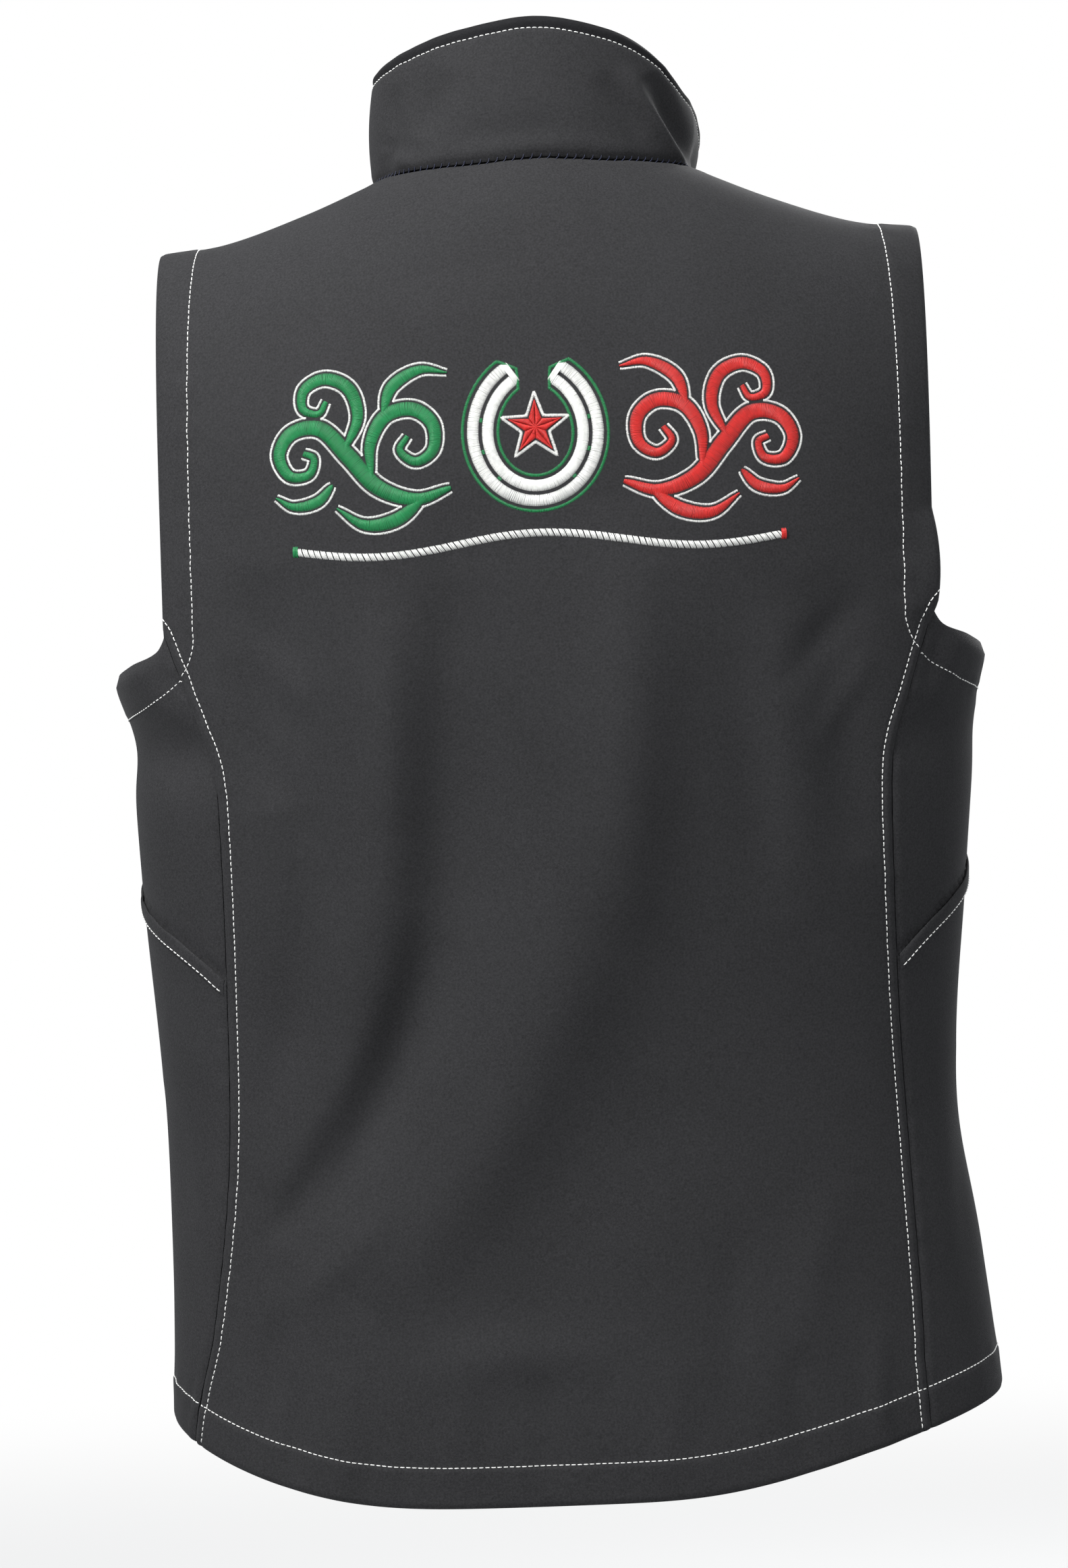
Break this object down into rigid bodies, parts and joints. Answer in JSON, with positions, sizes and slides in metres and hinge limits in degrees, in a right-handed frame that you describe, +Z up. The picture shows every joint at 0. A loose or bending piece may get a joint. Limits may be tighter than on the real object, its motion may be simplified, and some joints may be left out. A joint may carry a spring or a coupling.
{
  "type": "western vest",
  "caption": "Sleeveless black softshell vest in worn form, stand collar, full-length front zip, back seams, slanted pocket welts and dropped back hem.",
  "frame": {"origin": "on the middle plane between the shoulders, level with the neck seam at centre back", "axes": "+Z up along the wearer's body, -Y out of the front with the zip, +Y out of the back, +X to the wearer's left"},
  "size_m": [0.4803, 0.2512, 0.8125],
  "materials": {
    "softshell": "matte bonded softshell, black, fine grain",
    "thread": "white sewing thread",
    "embroidery": "satin and fill stitch in white, green, red and black thread",
    "zip_tape": "woven black tape",
    "zip_teeth": "moulded black teeth",
    "zip_metal": "black enamelled zinc, satin"
  },
  "bodies": {
    "vest": {"back_panel": "softshell", "front_left": "softshell", "front_right": "softshell", "collar": "softshell", "pocket_welt_left": "softshell", "pocket_welt_right": "softshell", "zip_tape_left": "zip_tape", "zip_tape_right": "zip_tape", "zip_slider": "zip_metal", "zip_foot": "zip_metal"},
    "pull_tab": {"zip_pull": "zip_metal"}
  },
  "joints": [
    {"name": "zip_pull", "type": "hinge", "parent": "vest", "child": "pull_tab", "pos_m": [-0.00159, -0.11401, -0.13292], "axis": [-1, 0, 0], "range_deg": [0, 160]}
  ]
}
